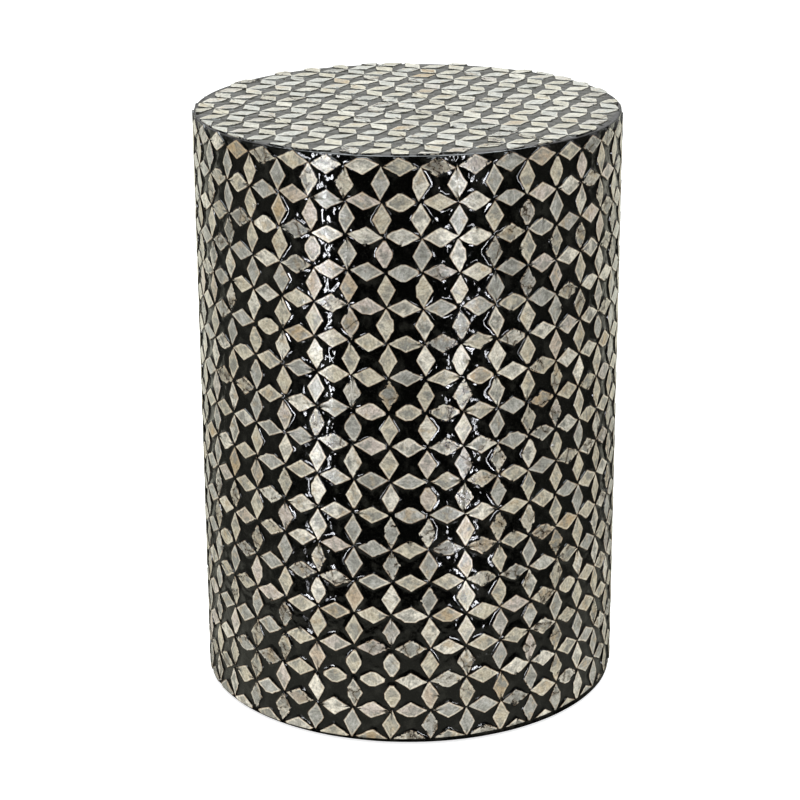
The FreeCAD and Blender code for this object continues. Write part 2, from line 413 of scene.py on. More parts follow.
    def tone(self, g: Surface) -> Wire:
        """Find a tile's own colour, one of five with a short passage between them.

        Args:
            g: The material under construction.

        Returns:
            The colour.
        """
        tones = (self.cream, self.pale, self.silver, self.rose, self.ochre)
        stops = [(end, tone) for tone, span in zip(tones, self.tone_spans) for end in span]
        return g.wire("ShaderNodeValToRGB", {"stops": stops}, {"Fac": g.attribute("tile_tone", "Fac")})

    def from_crack(self, g: Surface, grain: Wire) -> Wire:
        """How far a point of the shell lies from the nearest crack that a brittle tile would have."""
        inputs = {"Vector": g.wavered(grain, self.crack_bend_scale, self.crack_bend),
                  "Scale": self.crack_scale}
        return g.wire("ShaderNodeTexVoronoi", {"feature": "DISTANCE_TO_EDGE"}, inputs, "Distance")

    def chips(self, g: Surface, grain: Wire) -> Wire:
        """A level for each flake of the shell, by which it breaks away at the rim or stays."""
        inputs = {"Vector": g.wavered(grain, self.chip_bend_scale, self.chip_bend), "Scale": self.chip_scale}
        return g.wire("ShaderNodeTexVoronoi", {"feature": "F1"}, inputs, "Color")


@dataclass(frozen=True)
class LacquerFinish:
    """Black lacquer polished by hand: a wavy gloss, paler patches, dust, and a painted sheen on the seat's
    top.
    """

    seat_top: float
    # Painted sheen on the seat's top: above these heights the lacquer turns paler, standing in for reflected
    # light.
    painted_sheen_from: float = 0.15 * MM
    painted_sheen_to: float = 0.35 * MM
    black: Colour = (0.0006, 0.0006, 0.0005)
    paler_patch: Colour = (0.012, 0.0117, 0.0095)
    dust: Colour = (0.02, 0.02, 0.017)
    # Painted sheen: a paler black for the seat's top, standing in for light reflected there.
    painted_seat_sheen: Colour = (0.036, 0.035, 0.027)
    calmed: float = 0.65
    wave_scale: float = 125.0
    ripple_scale: float = 300.0
    haze_scale: float = 60.0
    paler_patch_scale: float = 90.0
    dust_scale: float = 1100.0
    relief: float = 1.6 * MM

    def material(self) -> bpy.types.Material:
        """Build the finish.

        Returns:
            The material, ready for a piece.
        """
        g = Surface(Slot.LACQUER.value)
        place = g.object_place()
        waves = g.noise(place, self.wave_scale, 0.0)
        ripples = g.noise(place, self.ripple_scale, 0.0)
        haze = g.noise(place, self.haze_scale, 3.0)
        paler_patches = g.noise(place, self.paler_patch_scale, 4.0, 0.6)
        dusty = g.noise(place, self.dust_scale, 3.0, 0.7)
        calm = 1.0 - g.attribute("lacquer_drawn", "Fac") * self.calmed
        height = (waves * 0.8 + ripples * g.smooth(haze, 0.42, 0.60) * 0.32) * calm
        up = g.parts(place)[2]
        # Painted sheen: the lacquer on the seat's top is mixed paler, standing in for reflected light.
        seat_sheen_mask = g.smooth(up, self.seat_top + self.painted_sheen_from, self.seat_top + self.painted_sheen_to)
        # Paler patches scattered through the black.
        colour = g.mix(g.smooth(paler_patches, 0.50, 0.68), self.black, self.paler_patch)
        colour = g.mix(seat_sheen_mask, colour, self.painted_seat_sheen)
        colour = g.mix(g.smooth(dusty, 0.52, 0.75), colour, self.dust)
        normal = g.bump(height, self.relief, 0.55)
        return g.dress(Base_Color=colour, Roughness=0.03 + haze * 0.06, Normal=normal)


@dataclass(frozen=True)
class TimberFinish:
    """Raw timber with its grain up the drum, and black paint on what faces the floor."""

    slot: Slot
    light: Colour
    dark: Colour
    paint: Colour = (0.012, 0.012, 0.012)
    painted_below: float = 2.2 * MM
    fibre_scale: float = 700.0
    fibre_stretch: float = 0.04
    ring_scale: float = 45.0
    ring_stretch: float = 0.12
    relief: float = 0.3 * MM

    def material(self) -> bpy.types.Material:
        """Build the finish.

        Returns:
            The material, ready for a piece.
        """
        g = Surface(self.slot.value)
        place = g.object_place()
        fibre_place = g.vector("MULTIPLY", place, (1.0, 1.0, self.fibre_stretch))
        ring_place = g.vector("MULTIPLY", place, (1.0, 1.0, self.ring_stretch))
        fibres = g.noise(fibre_place, self.fibre_scale, 5.0, 0.6)
        rings = g.noise(ring_place, self.ring_scale, 3.0)
        colour = g.mix(g.smooth(fibres * 0.5 + rings * 0.5, 0.35, 0.65), self.light, self.dark)
        bare = g.parts(place)[2] > self.painted_below
        colour = g.mix(bare, self.paint, colour)
        normal = g.bump(fibres, self.relief, 0.4)
        return g.dress(Base_Color=colour, Roughness=0.45 + fibres * 0.3, Normal=normal)


@dataclass(frozen=True)
class PaintedBoardFinish:
    """Fibreboard under a thin coat of satin black paint."""

    black: Colour = (0.012, 0.012, 0.012)
    worn: Colour = (0.035, 0.033, 0.03)
    fleck_scale: float = 900.0
    patch_scale: float = 30.0
    relief: float = 0.2 * MM

    def material(self) -> bpy.types.Material:
        """Build the finish.

        Returns:
            The material, ready for a piece.
        """
        g = Surface(Slot.BLACK_BOARD.value)
        place = g.object_place()
        fleck = g.noise(place, self.fleck_scale, 4.0, 0.65)
        patches = g.noise(place, self.patch_scale, 4.0)
        colour = g.mix(g.smooth(patches, 0.45, 0.7), self.black, self.worn)
        normal = g.bump(fleck, self.relief, 0.35)
        return g.dress(Base_Color=colour, Roughness=0.38 + patches * 0.2, Normal=normal)


@dataclass(frozen=True)
class SteelFinish:
    """Zinc plated steel."""

    bright: Colour = (0.62, 0.62, 0.60)
    dull: Colour = (0.40, 0.40, 0.36)
    spangle_scale: float = 600.0

    def material(self) -> bpy.types.Material:
        """Build the finish.

        Returns:
            The material, ready for a piece.
        """
        g = Surface(Slot.STEEL.value)
        spangle = g.noise(g.object_place(), self.spangle_scale, 3.0)
        colour = g.mix(g.smooth(spangle, 0.4, 0.65), self.bright, self.dull)
        return g.dress(Base_Color=colour, Metallic=1.0, Roughness=0.25 + spangle * 0.25)


@dataclass(frozen=True)
class FeltFinish:
    """Pressed black felt."""

    black: Colour = (0.02, 0.02, 0.021)
    lint: Colour = (0.075, 0.073, 0.07)
    fibre_scale: float = 1600.0
    tuft_scale: float = 350.0
    relief: float = 0.5 * MM

    def material(self) -> bpy.types.Material:
        """Build the finish.

        Returns:
            The material, ready for a piece.
        """
        g = Surface(Slot.FELT.value)
        place = g.object_place()
        fibres = g.noise(place, self.fibre_scale, 5.0, 0.7)
        tufts = g.noise(place, self.tuft_scale, 3.0)
        colour = g.mix(g.smooth(fibres, 0.5, 0.75), self.black, self.lint)
        normal = g.bump(fibres * 0.6 + tufts * 0.4, self.relief, 0.6)
        return g.dress(Base_Color=colour, Roughness=0.95, Sheen_Weight=0.4, Normal=normal)


def as_mesh(work: bmesh.types.BMesh, name: str) -> bpy.types.Mesh:
    """Turn a shape under construction into a mesh.

    Args:
        work: The shape, which is freed.
        name: The mesh's name.

    Returns:
        The mesh.
    """
    mesh = bpy.data.meshes.new(name)
    work.to_mesh(mesh)
    work.free()
    return mesh


@dataclass
class TileCutter:
    """Cuts a set of uneven rhombic tiles, long axis along X, and the lacquer drawn up round each."""

    long: float
    short: float
    thickness: float
    count: int = 28
    seed: int = 11
    bedding: float = 0.4 * MM
    bevel: float = 0.3 * MM
    edge_points: int = 2
    sharp_blunting: Span = (0.01, 0.035)
    chip_blunting: Span = (0.10, 0.28)
    round_blunting: Span = (0.12, 0.22)
    round_share: float = 0.05
    chip_share: float = 0.06
    straight_wander: float = 0.12 * MM
    ragged_wander: float = 0.45 * MM
    ragged_share: float = 0.42
    corner_wander: float = 0.5 * MM
    inner_share: float = 0.55
    inner_stray: Span = (-0.04 * MM, 0.06 * MM)
    middle_stray: Span = (-0.04 * MM, 0.08 * MM)
    face_rim: float = 0.55
    bead_width: Span = (1.8 * MM, 3.4 * MM)
    bead_foot_shares: Span = (0.02, 0.11)
    bead_rise_shares: Span = (0.20, 0.44)
    bead_top_share: float = 0.84
    bead_wander_share: float = 0.07
    bead_tuck: float = 0.35 * MM
    bead_overlap: float = 0.1 * MM

    def outline(self, draw: random.Random) -> list[Point]:
        """Draw one tile's outline: each corner blunted, each edge a little uneven.

        Args:
            draw: The source of chance.

        Returns:
            Its points, counterclockwise.
        """
        corners = [(self.long / 2, 0.0), (0.0, self.short / 2), (-self.long / 2, 0.0), (0.0, -self.short / 2)]
        corners = [self.astray(corner, self.corner_wander, draw) for corner in corners]
        wander = self.ragged_wander if draw.random() < self.ragged_share else self.straight_wander
        usual = self.round_blunting if draw.random() < self.round_share else self.sharp_blunting
        blunting = []
        for _ in corners:
            chipped = draw.random() < self.chip_share
            blunting.append(draw.uniform(*(self.chip_blunting if chipped else usual)))
        points = []
        steps = self.edge_points + 1
        for k, corner in enumerate(corners):
            following = corners[(k + 1) % len(corners)]
            first = blunting[k]
            last = 1 - blunting[(k + 1) % len(corners)]
            for step in range(steps + 1):
                share = first + (last - first) * step / steps
                place = tuple(a + (b - a) * share for a, b in zip(corner, following))
                points.append(self.astray(place, wander, draw))
        return points

    @staticmethod
    def astray(place: Point, reach: float, draw: random.Random) -> Point:
        """A point moved at random within a reach."""
        return place[0] + draw.uniform(-reach, reach), place[1] + draw.uniform(-reach, reach)

    def offset(self, points: list[Point], distance: float) -> list[Point]:
        """Move an outline outwards, or draw it in towards its middle.

        Args:
            points: The outline, counterclockwise.
            distance: How far, negative to draw it in.

        Returns:
            As many points.
        """
        if distance < 0:
            inner_radius = self.long * self.short / math.hypot(self.long, self.short) / 2
            share = 1 + distance / inner_radius
            return [(x * share, y * share) for x, y in points]
        moved = []
        for k, (x, y) in enumerate(points):
            before = points[k - 1]
            after = points[(k + 1) % len(points)]
            along = Vector((after[0] - before[0], after[1] - before[1])).normalized()
            moved.append((x + along.y * distance, y - along.x * distance))
        return moved

    @staticmethod
    def strip(work: bmesh.types.BMesh, lower: list, upper: list, sharp: bool) -> None:
        """Put quads between two rings of vertices.

        Args:
            work: The shape under construction.
            lower: One ring.
            upper: The other ring, with as many vertices.
            sharp: Whether the upper ring's edges are sharp.
        """
        size = len(lower)
        for k in range(size):
            after = (k + 1) % size
            face = work.faces.new((lower[k], lower[after], upper[after], upper[k]))
            face.smooth = True
        for k in range(size):
            work.edges.get((upper[k], upper[(k + 1) % size])).smooth = not sharp

    def tile(self, points: list[Point], draw: random.Random) -> bpy.types.Mesh:
        """Cut a tile, with its bevelled edge and slightly uneven face.

        Args:
            points: Its outline.
            draw: The source of chance.

        Returns:
            Its mesh, with each vertex's place and share of the rim.
        """
        work = bmesh.new()
        rim_layer = work.verts.layers.float.new("tile_rim")
        place_layer = work.verts.layers.float_vector.new("tile_place")

        def ring(outline: list[Point], height: float, rim: float) -> list:
            """Make a ring of vertices.

            Args:
                outline: Their places.
                height: Their height.
                rim: Their share of the rim.

            Returns:
                The vertices.
            """
            made = []
            for x, y in outline:
                vertex = work.verts.new((x, y, height))
                vertex[rim_layer] = rim
                made.append(vertex)
            return made

        face_points = self.offset(points, -self.bevel)
        inner_points = [(x * self.inner_share, y * self.inner_share) for x, y in face_points]
        wall = ring(points, -self.bedding, 1.0)
        edge = ring(points, self.thickness - self.bevel, 1.0)
        face = ring(face_points, self.thickness, self.face_rim)
        inner = ring(inner_points, self.thickness + draw.uniform(*self.inner_stray), 0.0)
        middle = ring([(0.0, 0.0)], self.thickness + draw.uniform(*self.middle_stray), 0.0)[0]
        self.strip(work, wall, edge, True)
        self.strip(work, edge, face, True)
        self.strip(work, face, inner, False)
        for k, vertex in enumerate(inner):
            work.faces.new((vertex, inner[(k + 1) % len(inner)], middle)).smooth = True
        work.faces.new(wall[::-1])
        for vertex in work.verts:
            vertex[place_layer] = vertex.co
        return self.meshed(work, "shell_cut")

    def bead(self, points: list[Point], draw: random.Random) -> bpy.types.Mesh:
        """Draw the lacquer up round a tile: a closed ring with a hollow face.

        Args:
            points: The tile's outline.
            draw: The source of chance.

        Returns:
            Its mesh, marked as drawn lacquer.
        """
        work = bmesh.new()
        drawn_layer = work.verts.layers.float.new("lacquer_drawn")
        width = draw.uniform(*self.bead_width)
        foot = draw.uniform(*self.bead_foot_shares) * self.thickness
        rise = draw.uniform(*self.bead_rise_shares) * self.thickness
        top = self.bead_top_share * self.thickness
        profile = [(-self.bead_tuck, -self.bedding - self.bead_overlap), (width, -self.bead_overlap),
                   (0.5 * width, foot), (0.1 * width, rise), (-self.bead_overlap, top)]
        rings = []
        for distance, height in profile:
            outline = self.offset(points, distance)
            if distance > 0:
                outline = [self.astray(place, self.bead_wander_share * distance, draw) for place in outline]
            rings.append([work.verts.new((x, y, height)) for x, y in outline])
        for vertex in work.verts:
            vertex[drawn_layer] = 1.0
        sharp = (True, False, True, True, True)
        for k, lower in enumerate(rings):
            self.strip(work, lower, rings[(k + 1) % len(rings)], sharp[k])
        return self.meshed(work, "lacquer_bead")

    @staticmethod
    def meshed(work: bmesh.types.BMesh, name: str) -> bpy.types.Mesh:
        """Turn a closed shape into a mesh that faces outwards."""
        bmesh.ops.recalc_face_normals(work, faces=work.faces)
        return as_mesh(work, name)

    def cut_all(self) -> tuple[bpy.types.Collection, bpy.types.Collection]:
        """Cut the whole set.

        Returns:
            The tiles and, in the same order, their beads.
        """
        tiles = bpy.data.collections.new("shell_cuts")
        beads = bpy.data.collections.new("lacquer_beads")
        draw = random.Random(self.seed)
        for number in range(self.count):
            points = self.outline(draw)
            for group, mesh in ((tiles, self.tile(points, draw)), (beads, self.bead(points, draw))):
                group.objects.link(bpy.data.objects.new(f"{group.name}_{number:02d}", mesh))
        return tiles, beads


class LayingTree(Graph):
    """Geometry nodes that lay tiles by hand: points on a grid, one cut on each, set a little out of line."""

    shell_reach: float = 9.0
    under_count: float = 0.001

    def __init__(self, name: str) -> None:
        """Make the tree with the inputs that every laying has.

        Args:
            name: The tree's name.
        """
        super().__init__(bpy.data.node_groups.new(name, "GeometryNodeTree"))
        self.tree.interface.new_socket(name="Geometry", in_out="OUTPUT", socket_type="NodeSocketGeometry")
        self.entry = self.tree.nodes.new("NodeGroupInput")
        self.exit = self.tree.nodes.new("NodeGroupOutput")
        self.given("Geometry", "NodeSocketGeometry")
        self.cuts = self.given("Cuts", "NodeSocketCollection")
        self.cut_count = self.given("Cut Count", "NodeSocketInt")
        self.finish = self.given("Finish", "NodeSocketMaterial")
        self.seed = self.given("Seed", "NodeSocketInt")
        self.size = self.given("Size", "NodeSocketFloat")
        self.size_spread = self.given("Size Spread", "NodeSocketFloat")
        self.place_spread = self.given("Place Spread", "NodeSocketFloat")
        self.turn_spread = self.given("Turn Spread", "NodeSocketFloat")
        self.tilt_spread = self.given("Tilt Spread", "NodeSocketFloat")

    def given(self, name: str, kind: str) -> Wire:
        """A named input of the tree."""
        self.tree.interface.new_socket(name=name, in_out="INPUT", socket_type=kind)
        return Wire(self, self.entry.outputs[name])

    def index(self) -> Wire:
        """The number of a point."""
        return self.wire("GeometryNodeInputIndex")

    def chance(self, low: Any, high: Any, draw: Draw) -> Wire:
        """A random number for each point, from low to high."""
        inputs = {2: low, 3: high, 8: self.seed + draw.value}
        return self.wire("FunctionNodeRandomValue", {"data_type": "FLOAT"}, inputs, 1)

    def spread(self, reach: Wire, draw: Draw) -> Wire:
        """A random number for each point, as far below zero as above."""
        return self.chance(0.0 - reach, reach, draw)

    def join(self, x: Any, y: Any, z: Any) -> Wire:
        """A vector of three values."""
        return self.wire("ShaderNodeCombineXYZ", None, {0: x, 1: y, 2: z})

    def keep(self, geometry: Wire, name: str, kind: str, value: Any) -> Wire:
        """Store a value on each point under a name."""
        inputs = {"Geometry": geometry, "Name": name, "Value": value}
        return self.wire("GeometryNodeStoreNamedAttribute", {"data_type": kind, "domain": "POINT"}, inputs)

    def lay(self, points: Wire, turn: Any) -> Wire:
        """Set a cut on each point and make the tiles real.

        Args:
            points: The points, in the unrolled surface with Z outwards.
            turn: The turn of each tile's long axis.

        Returns:
            The tiles, each with its own tone, wear, shift and turn of the shell.
        """
        points = self.keep(points, "tile_tone", "FLOAT", self.chance(0.0, 1.0, Draw.TONE))
        points = self.keep(points, "tile_wear", "FLOAT", self.chance(0.0, 1.0, Draw.WEAR))
        points = self.keep(points, "tile_turn", "FLOAT", self.chance(0.0, math.tau, Draw.TURN))
        shifts = (Draw.SHIFT_X, Draw.SHIFT_Y, Draw.SHIFT_Z)
        shift = self.join(*(self.chance(0.0, self.shell_reach, draw) for draw in shifts))
        points = self.keep(points, "tile_shift", "FLOAT_VECTOR", shift)
        strays = (Draw.STRAY_X, Draw.STRAY_Y)
        stray = self.join(*(self.spread(self.place_spread, draw) for draw in strays), 0.0)
        points = self.wire("GeometryNodeSetPosition", None, {"Geometry": points, "Offset": stray})
        half_turn = (self.chance(0.0, 1.0, Draw.HALF_TURN) > 0.5) * math.pi
        tilt = [self.spread(self.tilt_spread, draw) for draw in (Draw.TILT_X, Draw.TILT_Y)]
        rotation = self.join(*tilt, turn + half_turn + self.spread(self.turn_spread, Draw.OFF_LINE))
        length = self.size * (1.0 + self.spread(self.size_spread, Draw.LENGTH))
        width = self.size * (1.0 + self.spread(self.size_spread, Draw.WIDTH))
        cuts = self.wire("GeometryNodeCollectionInfo", None,
                         {"Collection": self.cuts, "Separate Children": True, "Reset Children": True})
        pick = self.chance(0.0, self.cut_count - self.under_count, Draw.CUT).math("FLOOR")
        tiles = self.wire("GeometryNodeInstanceOnPoints", None,
                          {"Points": points, "Instance": cuts, "Pick Instance": True, "Instance Index": pick,
                           "Rotation": rotation, "Scale": self.join(length, width, 1.0)})
        return self.wire("GeometryNodeRealizeInstances", None, {"Geometry": tiles})

    def close(self, geometry: Wire) -> None:
        """Give the tiles their finish and end the tree."""
        dressed = self.wire("GeometryNodeSetMaterial", None, {"Geometry": geometry, "Material": self.finish})
        self.feed(self.exit.inputs[0], dressed)

    def run(self, values: dict[str, Any]) -> bpy.types.Mesh:
        """Run the tree once.

        Args:
            values: The inputs, by name.

        Returns:
            A plain mesh of the result.
        """
        host = bpy.data.objects.new(self.tree.name, bpy.data.meshes.new(self.tree.name))
        bpy.context.scene.collection.objects.link(host)
        modifier = host.modifiers.new("laying", "NODES")
        modifier.node_group = self.tree
        for item in self.tree.interface.items_tree:
            if item.in_out == "INPUT" and item.name in values:
                modifier[item.identifier] = values[item.name]
        evaluated = host.evaluated_get(bpy.context.evaluated_depsgraph_get())
        mesh = bpy.data.meshes.new_from_object(evaluated)
        bpy.data.objects.remove(host)
        return mesh


@dataclass(frozen=True)
class HandLaying:
    """How far a hand-laid tile strays from its place."""

    size_spread: float = 0.045
    place_spread: float = 0.45 * MM
    turn_spread: float = math.radians(3.5)
    tilt_spread: float = math.radians(1.3)

    def values(self) -> dict[str, Any]:
        """The laying tree's inputs for it."""
        return {"Size Spread": self.size_spread, "Place Spread": self.place_spread,
                "Turn Spread": self.turn_spread, "Tilt Spread": self.tilt_spread}


def trimmed(mesh: bpy.types.Mesh, planes: list[Plane]) -> bpy.types.Mesh:
    """Cut a mesh of closed shapes along planes and close the cuts.

    Args:
        mesh: The mesh, which is changed.
        planes: A point of each plane and the direction that is cut away.

    Returns:
        The same mesh.
    """
    work = bmesh.new()
    work.from_mesh(mesh)
    for point, outward in planes:
        everything = work.verts[:] + work.edges[:] + work.faces[:]
        bmesh.ops.bisect_plane(work, geom=everything, dist=CUT_TOLERANCE, plane_co=point, plane_no=outward,
                               clear_outer=True)
    open_edges = [edge for edge in work.edges if edge.is_boundary]
    bmesh.ops.holes_fill(work, edges=open_edges, sides=0)
    work.to_mesh(mesh)
    work.free()
    return mesh


def turned_shell(profile: list[Point], segments: int, waviness: float) -> bmesh.types.BMesh:
    """Turn a closed shape about the Z axis.

    Args:
        profile: Its half section as radius and height, closed by itself. Points on the axis become poles.
        segments: Steps of the turn.
        waviness: How far the surface may stray.

    Returns:
        The shape, facing outwards.
    """
    # Unless it is seeded, this noise starts from the clock.
    noise.seed_set(COAT_SEED)
    work = bmesh.new()
    rings = []
    for radius, height in profile:
        ring = []
        for k in range(segments):
            angle = math.tau * k / segments
            place = Vector((radius * math.sin(angle), -radius * math.cos(angle), height))
            stray = noise.noise_vector(place * COAT_WAVES) * waviness
            ring.append(work.verts.new(place + stray))
        rings.append(ring)
    for k, lower in enumerate(rings):
        upper = rings[(k + 1) % len(rings)]
        for n in range(segments):
            after = (n + 1) % segments
            work.faces.new((lower[n], lower[after], upper[after], upper[n])).smooth = True
    bmesh.ops.remove_doubles(work, verts=work.verts, dist=WELD_DISTANCE)
    bmesh.ops.recalc_face_normals(work, faces=work.faces)
    for edge in work.edges:
        edge.smooth = edge.calc_face_angle(0.0) < CREASE_ANGLE
    return work


def add_piece(name: str, mesh: bpy.types.Mesh, material: bpy.types.Material,
              nodes: list[str]) -> None:
    """Put a finished mesh in the scene as a piece of the stool.

    Args:
        name: The piece's name.
        mesh: Its mesh.
        material: Its finish.
        nodes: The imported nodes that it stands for.
    """
    mesh.name = name
    mesh.materials.clear()
    mesh.materials.append(material)
    piece = bpy.data.objects.new(name, mesh)
    bpy.context.scene.collection.objects.link(piece)
    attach(piece, BODY)
    if nodes:
        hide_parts(*nodes)
    triangles = sum(len(face.vertices) - 2 for face in mesh.polygons)
    LOG.info("%s: %d triangles, stands for %d nodes", name, triangles, len(nodes))


@dataclass(frozen=True)
class Drift:
    """How the rows wander over the front half, in millimetres, down the drum and with the sine round it."""

    level: float
    down: float
    down_twice: float
    side: float
    side_down: float
    side_down_twice: float
    bow_down: float

    def at(self, sine: Wire, fall: Wire, front: Wire) -> Wire:
        """The drift at a place.

        Args:
            sine: The sine of the angle round from the front.
            fall: The share of the way down.
            front: One at the front and zero at the back.

        Returns:
            A length in millimetres.
        """
        middle = self.level + fall * (self.down + fall * self.down_twice)
        lopsided = sine * (self.side + fall * (self.side_down + fall * self.side_down_twice))
        return front * (middle + lopsided + fall * sine * sine * self.bow_down)


@dataclass
class SideFacing:
    """The side of the drum: its lacquer and its courses of flat and upright tiles."""

    nodes: list[str]
    thickness: float = 1.2 * MM
    columns: int = 38
    steps: int = 17
    tip_gap: float = 1.5 * MM
    fullness: float = 1.015
    top_band: float = 1.5 * MM
    bottom_band: float = 3.0 * MM
    cut_height: float = 3.2 * MM
    cut_slope: float = 0.0147
    bead_below: float = 0.6 * MM
    coat_thickness: float = 1.3 * MM
    coat_levels: int = 48
    coat_segments: int = 190
    coat_waviness: float = 0.12 * MM
    flat_seed: int = 100
    upright_seed: int = 300
    laying: HandLaying = HandLaying()
    right: Drift = Drift(level=-5.8, down=16.7, down_twice=-10.4, side=-0.8, side_down=-6.4,
                         side_down_twice=21.7, bow_down=-13.3)
    down: Drift = Drift(level=-2.6, down=-1.5, down_twice=11.9, side=1.2, side_down=10.9,
                        side_down_twice=-14.0, bow_down=-10.7)
    settling: float = 8.0

    def __post_init__(self) -> None:
        """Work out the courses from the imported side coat."""
        low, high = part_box("side_ground")
        seat_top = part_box("seat_ground")[1].z
        self.bottom = low.z
        self.top = high.z
        self.radius = high.x
        self.inner_radius = self.radius - self.coat_thickness
        self.pitch = math.tau * (self.radius + self.thickness) / self.columns
        self.flat_long = self.pitch - self.tip_gap
        self.flat_short = self.flat_long * math.tan(SHARP_HALF_ANGLE)
        self.first = seat_top - self.top_band - self.flat_short / 2
        self.last = self.bottom + self.bottom_band
        self.course_pitch = (self.first - self.last) / self.steps
        self.upright_long = self.course_pitch - self.tip_gap

    def tree(self) -> LayingTree:
        """Build the laying of one kind of course: level rows that wander, wrapped round the drum.

        Returns:
            The tree, ready to run.
        """
        g = LayingTree("side_laying")
        rows = g.given("Rows", "NodeSocketInt")
        first = g.given("First Height", "NodeSocketFloat")
        offset = g.given("First Column", "NodeSocketFloat")
        turn = g.given("Turn", "NodeSocketFloat")
        row = (g.index() / self.columns).math("FLOOR")
        angle = (g.index() % self.columns + offset) * (math.tau / self.columns)
        height = first - row * self.course_pitch
        fall = (self.first - height) / (self.first - self.last)
        sine = angle.math("SINE")
        front = (1.0 + angle.math("COSINE")) / 2.0
        lowest = fall.math("POWER", fall, self.settling)
        highest = fall.math("POWER", 1.0 - fall, self.settling)
        settled = (1.0 - lowest) * (1.0 - 0.5 * highest)
        along = angle * self.radius + self.right.at(sine, fall, front) * MM
        height = height - self.down.at(sine, fall, front) * settled * MM
        points = g.wire("GeometryNodePoints", None,
                        {"Count": rows * self.columns, "Position": g.join(along, height, 0.0)})
        tiles = g.lay(points, turn)
        x, y, z = g.parts(g.wire("GeometryNodeInputPosition"))
        reach = z + self.radius
        around = x / self.radius
        wrapped = g.join(reach * around.math("SINE"), 0.0 - reach * around.math("COSINE"), y)
        g.close(g.wire("GeometryNodeSetPosition", None, {"Geometry": tiles, "Position": wrapped}))
        return g

    def courses(self, course: Course) -> dict[str, Any]:
        """Work out the laying tree's inputs for one kind of course.

        Args:
            course: The kind.

        Returns:
            The inputs, by name.
        """
        if course is Course.UPRIGHT:
            own = {"Rows": self.steps, "First Height": self.first - self.course_pitch / 2,
                   "First Column": 0.5, "Turn": math.pi / 2,
                   "Size": self.fullness * self.upright_long / self.flat_long, "Seed": self.upright_seed}
        else:
            own = {"Rows": self.steps + 1, "First Height": self.first, "First Column": 0.0, "Turn": 0.0,
                   "Size": self.fullness, "Seed": self.flat_seed}
        return own | self.laying.values()

    def coat(self) -> bmesh.types.BMesh:
        """Pour the coat that the tiles are set in.

        Returns:
            A thin, wavy drum wall.
        """
        height = self.top - self.bottom
        levels = [self.bottom + height * k / self.coat_levels for k in range(self.coat_levels + 1)]
        profile = [(self.radius, level) for level in levels]
        profile += [(self.inner_radius, self.top), (self.inner_radius, self.bottom)]
        return turned_shell(profile, self.coat_segments, self.coat_waviness)

    def build(self, shell: bpy.types.Material, lacquer: bpy.types.Material) -> None:
        """Lay both kinds of course, with their lacquer, and put them in the scene.

        Args:
            shell: The tiles' finish.
            lacquer: The finish of the coat and the beads.
        """
        cutter = TileCutter(self.flat_long, self.flat_short, self.thickness)
        tiles, beads = cutter.cut_all()
        tree = self.tree()
        # The lower edge is cut by eye, so that the black line under the tiles widens to the right.
        cut = self.bottom + self.cut_height
        below = Vector((self.cut_slope, 0, -1)).normalized()
        above = Vector((0, 0, 1))
        tile_planes = [(above * cut, below)]
        bead_planes = [(above * (cut - self.bead_below), below), (above * self.top, above)]
        for course in Course:
            values = self.courses(course) | {"Cut Count": cutter.count}
            mesh = trimmed(tree.run(values | {"Cuts": tiles, "Finish": shell}), tile_planes)
            laid = [node for node in self.nodes if node.startswith(f"{course.value}_course")]
            add_piece(f"side_{course.value}_tiles", mesh, shell, laid)
            mesh = trimmed(tree.run(values | {"Cuts": beads, "Finish": lacquer}), bead_planes)
            add_piece(f"side_{course.value}_beads", mesh, lacquer, [])
        mesh = as_mesh(self.coat(), "side_lacquer")
        add_piece("side_lacquer", mesh, lacquer, ["side_ground"])


